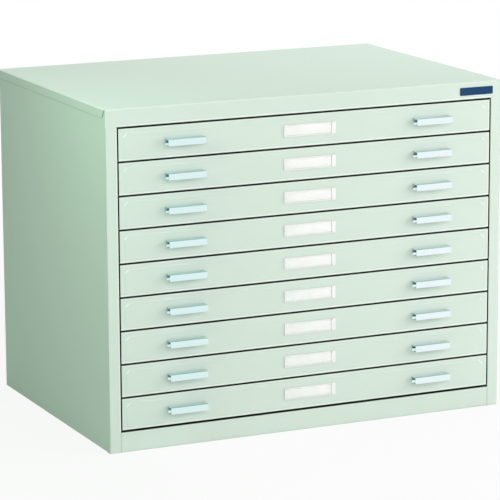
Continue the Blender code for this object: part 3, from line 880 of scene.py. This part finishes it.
class MAPCABINET_OT_make_card_frames(bpy.types.Operator):
    """Mould the card frames, with a blank card and a clear window in each"""

    bl_idname = "map_cabinet.make_card_frames"
    bl_label = "Make Card Frames"

    def execute(self, context):
        settings = context.scene.cabinet_card_frame
        low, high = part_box("label_holder_1")
        holder = self.mould_frame(settings, low, high)
        give_finish(holder, ivory_plastic("ivory_plastic", settings))
        inner_low = Vector((low.x + settings.rim, low.y, low.z + settings.rim))
        inner_high = Vector((high.x - settings.grip, low.y + settings.pocket, high.z - settings.rim))
        play = Vector((settings.play, 0, settings.play))
        card_front = Vector((0, settings.pocket - settings.card, 0))
        card = self.cut_plate(
            "card_pattern", inner_low + play + card_front, inner_high - play, settings.card / 4)
        give_finish(card, blank_card("blank_card", settings))
        window_back = Vector((0, settings.pocket - settings.card - settings.window, 0))
        window_front = Vector((0, settings.pocket - settings.card - 2 * settings.window, 0))
        window = self.cut_plate(
            "window_pattern", inner_low + play + window_front,
            Vector((inner_high.x, low.y, inner_high.z)) - play + window_back, settings.window / 4)
        give_finish(window, clear_plastic("clear_plastic"))
        for drawer in DRAWERS:
            number = number_of(drawer)
            offset = offset_between("label_holder_1", f"label_holder_{number}")
            frame_copy = copy_piece(holder, f"card_frame_{number}", offset)
            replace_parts(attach(frame_copy, drawer), f"label_holder_{number}")
            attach(copy_piece(card, f"title_card_{number}", offset), drawer)
            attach(copy_piece(window, f"card_window_{number}", offset), drawer)
        for pattern in (holder, card, window):
            bpy.data.objects.remove(pattern)
        return {"FINISHED"}

    def mould_frame(self, settings, low, high):
        """A block with round corners, its pocket pressed in and its grip end left solid."""
        holder = add_block("holder_pattern", low, high)
        pick(holder, "faces", faces_front)
        bpy.ops.mesh.inset(thickness=settings.rim)
        pick(holder, "verts", self.pocket_corner)
        bpy.ops.transform.translate(value=(settings.rim - settings.grip, 0, 0))
        pick(holder, "edges", lambda edge: runs_along(edge, 1))
        bpy.ops.mesh.bevel(offset=settings.corner, segments=4, affect="EDGES")
        pick(holder, "faces", lambda face: faces_front(face) and self.is_pocket(face))
        push_out((0, settings.pocket, 0))
        settle()
        apply_modifier(holder, "BEVEL", width=settings.edge, segments=3, angle_limit=math.radians(50))
        for level in (low.z + settings.rim, high.z - settings.rim):
            self.drill_relief(holder, settings, Vector((high.x - settings.grip, low.y, level)))
        return finish_mesh(holder)

    def drill_relief(self, holder, settings, corner):
        """A small round hole at a corner of the pocket, where the window snaps in."""
        start_modelling()
        place = corner + Vector((0, settings.relief_depth / 2, 0))
        bpy.ops.mesh.primitive_cylinder_add(
            vertices=16, radius=settings.relief, depth=settings.relief_depth * 2, location=place,
            rotation=(math.pi / 2, 0, 0))
        drill = bpy.context.object
        settle()
        cut_away(holder, drill)

    def pocket_corner(self, vert):
        """Whether the vertex is one of the inset's corners at the right end."""
        return vert.co.x > 0 and all(faces_front(face) for face in vert.link_faces)

    def is_pocket(self, face):
        """Whether the face lies inside the inset, touching no side of the block."""
        return all(all(faces_front(near) for near in vert.link_faces) for vert in face.verts)

    def cut_plate(self, name, low, high, edge):
        """A thin plate with softened edges."""
        plate = add_block(name, low, high)
        bpy.ops.mesh.select_all(action="SELECT")
        bpy.ops.mesh.bevel(offset=edge, segments=2, affect="EDGES")
        return finish_mesh(plate)


class MAPCABINET_OT_make_rail_plate(bpy.types.Operator):
    """Fix a bare enamelled plate to the right of the top rail"""

    bl_idname = "map_cabinet.make_rail_plate"
    bl_label = "Make Rail Plate"

    def execute(self, context):
        settings = context.scene.cabinet_rail_plate
        rail_low, rail_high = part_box("top_panel")
        right = rail_high.x - settings.from_side
        middle = rail_high.z - settings.from_top
        low = Vector((right - settings.width, rail_low.y - settings.depth, middle - settings.height / 2))
        high = Vector((right, rail_low.y, middle + settings.height / 2))
        plate = add_block("rail_plate", low, high)
        pick(plate, "edges", lambda edge: runs_along(edge, 1))
        bpy.ops.mesh.bevel(offset=settings.corner, segments=6, affect="EDGES")
        pick(plate, "faces", faces_front)
        bpy.ops.mesh.inset(thickness=settings.depth)
        bpy.ops.transform.translate(value=(0, settings.depth / 4, 0))
        settle()
        apply_modifier(plate, "BEVEL", width=settings.depth / 4, segments=3, angle_limit=math.radians(40))
        finish_mesh(plate)
        give_finish(plate, plate_enamel("plate_enamel", settings))
        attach(plate, "cabinet")
        return {"FINISHED"}


class MAPCABINET_OT_dress_joints(bpy.types.Operator):
    """Fill and dress the joints of the stiles with the top rail and the kick rail; the kick rail's joints
    get darker enamel as painted shade
    """

    bl_idname = "map_cabinet.dress_joints"
    bl_label = "Dress Joints"

    def execute(self, context):
        enamel_settings = context.scene.cabinet_enamel
        weld, kick_joint = context.scene.cabinet_weld, context.scene.cabinet_kick_joint
        front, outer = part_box("top_panel")[0].y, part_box("top_panel")[1].x
        opening_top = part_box("drawer_front_1")[1].z + weld.under_rail
        opening_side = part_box("drawer_front_1")[1].x + enamel_settings.side_gap
        kick_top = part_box("kick_rail")[1].z
        before, behind = front - weld.proud, front + weld.root
        rail_low = Vector((opening_side + weld.inset, before, opening_top - weld.height / 2))
        rail_high = Vector((outer - weld.inset, behind, opening_top + weld.height / 2))
        kick_low = Vector((opening_side - kick_joint.width / 2, before, weld.inset))
        kick_high = Vector((opening_side + kick_joint.width / 2, behind, kick_top - weld.inset))
        roughness = enamel_settings.roughness
        weld_finish = plain_enamel("weld_enamel", enamel_settings.colour, roughness)
        # The kick rail's joints take a darker enamel, as painted shade.
        joint_shade_finish = plain_enamel("joint_enamel", kick_joint.colour, roughness)
        self.dress_pair("rail", weld, rail_low, rail_high, weld_finish)
        self.dress_pair("kick", weld, kick_low, kick_high, joint_shade_finish)
        return {"FINISHED"}

    def dress_pair(self, place, settings, low, high, finish):
        """A dressed joint on the right, and the same on the left."""
        right = self.dress_joint(f"{place}_joint_right", settings, low, high)
        left = copy_piece(right, f"{place}_joint_left", Vector((-low.x - high.x, 0, 0)))
        for joint in (left, right):
            give_finish(joint, finish)
            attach(joint, "cabinet")

    def dress_joint(self, name, settings, low, high):
        """A bar over the joint, ground down until it slopes into the sheet on all sides."""
        joint = add_block(name, low, high)
        pick(joint, "faces", faces_front)
        slope = min(high.x - low.x, high.z - low.z) / 5
        bpy.ops.mesh.inset(thickness=slope)
        pick(joint, "edges", lambda edge: all(faces_front(face) for face in edge.link_faces))
        bpy.ops.mesh.bevel(offset=settings.proud, segments=2, affect="EDGES")
        pick(joint, "verts", on_front_rim)
        bpy.ops.transform.translate(value=(0, settings.proud * GROUND_OFF, 0))
        return finish_mesh(joint)


class MAPCABINET_OT_make_pull_screws(bpy.types.Operator):
    """Set the heads of the pulls' screws on the inside of each drawer's front wall"""

    bl_idname = "map_cabinet.make_pull_screws"
    bl_label = "Make Pull Screws"

    def execute(self, context):
        settings = context.scene.cabinet_screw
        tray_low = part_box("drawer_tray_1")[0]
        low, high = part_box("pull_left_1")
        across = (low.x + high.x - settings.spacing) / 2
        level = high.z - context.scene.cabinet_pull.plate / 2
        seat = Vector((across, tray_low.y + DRAWER_SHEET, level))
        pattern = self.turn_head(settings, seat)
        give_finish(pattern, zinc("screw_zinc"))
        for drawer in DRAWERS:
            heads = []
            for side in ("left", "right"):
                node = f"pull_{side}_{number_of(drawer)}"
                for step in (0, settings.spacing):
                    offset = offset_between("pull_left_1", node) + Vector((step, 0, 0))
                    heads.append(copy_piece(pattern, f"pull_screws_{number_of(drawer)}", offset))
            start_modelling()
            for head in heads:
                head.select_set(True)
            bpy.context.view_layer.objects.active = heads[0]
            bpy.ops.object.join()
            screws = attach(heads[0], drawer)
        bpy.data.objects.remove(pattern)
        return {"FINISHED"}

    def turn_head(self, settings, seat):
        """A pan head with a cross recess, on the wall's inner face."""
        start_modelling()
        place = seat + Vector((0, settings.height / 2, 0))
        bpy.ops.mesh.primitive_cylinder_add(
            vertices=20, radius=settings.radius, depth=settings.height, location=place,
            rotation=(-math.pi / 2, 0, 0))
        head = bpy.context.object
        head.name = "screw_pattern"
        settle()
        bpy.ops.object.mode_set(mode="EDIT")
        pick(head, "edges", lambda edge: all(vert.co.y > place.y for vert in edge.verts))
        bpy.ops.mesh.bevel(offset=settings.height * HEAD_ROUNDING, segments=4, affect="EDGES")
        bpy.ops.object.mode_set(mode="OBJECT")
        cut_away(head, self.cross_cutter(settings, seat))
        return finish_mesh(head)

    def cross_cutter(self, settings, seat):
        """A cross of two bars, as deep as the driver's recess."""
        arm = settings.radius * 0.5
        half = settings.radius * 0.11
        bottom = seat.y + settings.height * 0.3
        top = seat.y + settings.height * 1.5
        low = Vector((seat.x - half, bottom, seat.z - half))
        high = Vector((seat.x + half, top, seat.z + half))
        cutter = add_block("cross_cutter", low, high)
        for axis, sign in ((0, 1), (0, -1), (2, 1), (2, -1)):
            pick(cutter, "faces", lambda face: (
                face.normal[axis] * sign > FACING and abs(face.calc_center_median()[axis]) < half * 2))
            move = [0, 0, 0]
            move[axis] = sign * (arm - half)
            push_out(move)
        return finish_mesh(cutter)


class MAPCABINET_OT_make_stage(bpy.types.Operator):
    """Set up the floor, the softboxes, the white room and the camera"""

    bl_idname = "map_cabinet.make_stage"
    bl_label = "Make Stage"

    def execute(self, context):
        settings = context.scene.cabinet_stage
        self.lay_floor(settings)
        for name, place, target, size, power, colour in SOFTBOXES:
            self.add_softbox(name, place, target, size, getattr(settings, power), colour)
        self.light_room(settings)
        self.place_camera(settings)
        context.scene.view_settings.view_transform = "Standard"
        return {"FINISHED"}

    def lay_floor(self, settings):
        """A round floor with its edge far outside the view."""
        start_modelling()
        bpy.ops.mesh.primitive_circle_add(vertices=64, radius=settings.floor_radius, fill_type="NGON")
        floor = bpy.context.object
        floor.name = "studio_floor"
        give_finish(floor, pale_floor("pale_floor"))

    def add_softbox(self, name, place, target, size, power, colour):
        """A square softbox that faces its target and isn't seen itself."""
        turn = (Vector(target) - Vector(place)).to_track_quat("-Z", "Y").to_euler()
        bpy.ops.object.light_add(type="AREA", location=place, rotation=turn)
        softbox = bpy.context.object
        softbox.name = name
        softbox.data.size = size
        softbox.data.energy = power
        softbox.data.color = colour
        softbox.visible_camera = False
        softbox.visible_glossy = False

    def light_room(self, settings):
        """Even light for what the surfaces gather, and plain white for what is seen."""
        world = bpy.data.worlds.new("white_room")
        bpy.context.scene.world = world
        nodes = NodeSheet(world)
        seen = nodes.seen_directly()
        gathered = shade(settings.room_colour, settings.room_light)
        colour = nodes.blend(seen, gathered, WHITE)
        room = nodes.add("ShaderNodeBackground", {}, {"Color": colour, "Strength": 1})
        nodes.add("ShaderNodeOutputWorld", {}, {"Surface": room})

    def place_camera(self, settings):
        """A long lens from in front, to the left and above."""
        turn = (math.pi / 2 + settings.camera_pitch, 0, -settings.camera_yaw)
        bpy.ops.object.camera_add(location=settings.camera_place, rotation=turn)
        camera = bpy.context.object
        camera.name = "photo_camera"
        roll = Matrix.Rotation(settings.camera_roll, 3, "Z")
        camera.rotation_euler = (camera.matrix_world.to_3x3() @ roll).to_euler()
        camera.data.lens = settings.lens
        camera.data.clip_end = 100
        bpy.context.scene.camera = camera


class MAPCABINET_PT_dressing(bpy.types.Panel):
    """Lists the steps that dress the cabinet"""

    bl_label = "Map Cabinet"
    bl_idname = "MAPCABINET_PT_dressing"
    bl_space_type = "VIEW_3D"
    bl_region_type = "UI"
    bl_category = "Map Cabinet"

    def draw(self, context):
        for step in STEPS:
            self.layout.operator(step.bl_idname)


SETTINGS = {
    "cabinet_enamel": EnamelSettings,
    "cabinet_pull": PullSettings,
    "cabinet_card_frame": CardFrameSettings,
    "cabinet_rail_plate": RailPlateSettings,
    "cabinet_weld": WeldSettings,
    "cabinet_kick_joint": KickJointSettings,
    "cabinet_screw": ScrewSettings,
    "cabinet_stage": StageSettings,
}
STEPS = (
    MAPCABINET_OT_finish_nodes,
    MAPCABINET_OT_make_pulls,
    MAPCABINET_OT_make_card_frames,
    MAPCABINET_OT_make_rail_plate,
    MAPCABINET_OT_dress_joints,
    MAPCABINET_OT_make_pull_screws,
    MAPCABINET_OT_make_stage,
)


def register():
    for kind in (*SETTINGS.values(), *STEPS, MAPCABINET_PT_dressing):
        bpy.utils.register_class(kind)
    for name, kind in SETTINGS.items():
        setattr(bpy.types.Scene, name, bpy.props.PointerProperty(type=kind))


def unregister():
    for name in SETTINGS:
        delattr(bpy.types.Scene, name)
    for kind in (MAPCABINET_PT_dressing, *reversed(STEPS), *reversed(SETTINGS.values())):
        bpy.utils.unregister_class(kind)


def main():
    register()
    bpy.ops.map_cabinet.finish_nodes()
    bpy.ops.map_cabinet.make_pulls()
    bpy.ops.map_cabinet.make_card_frames()
    bpy.ops.map_cabinet.make_rail_plate()
    bpy.ops.map_cabinet.dress_joints()
    bpy.ops.map_cabinet.make_pull_screws()
    bpy.ops.map_cabinet.make_stage()


if __name__ == "__main__":
    main()
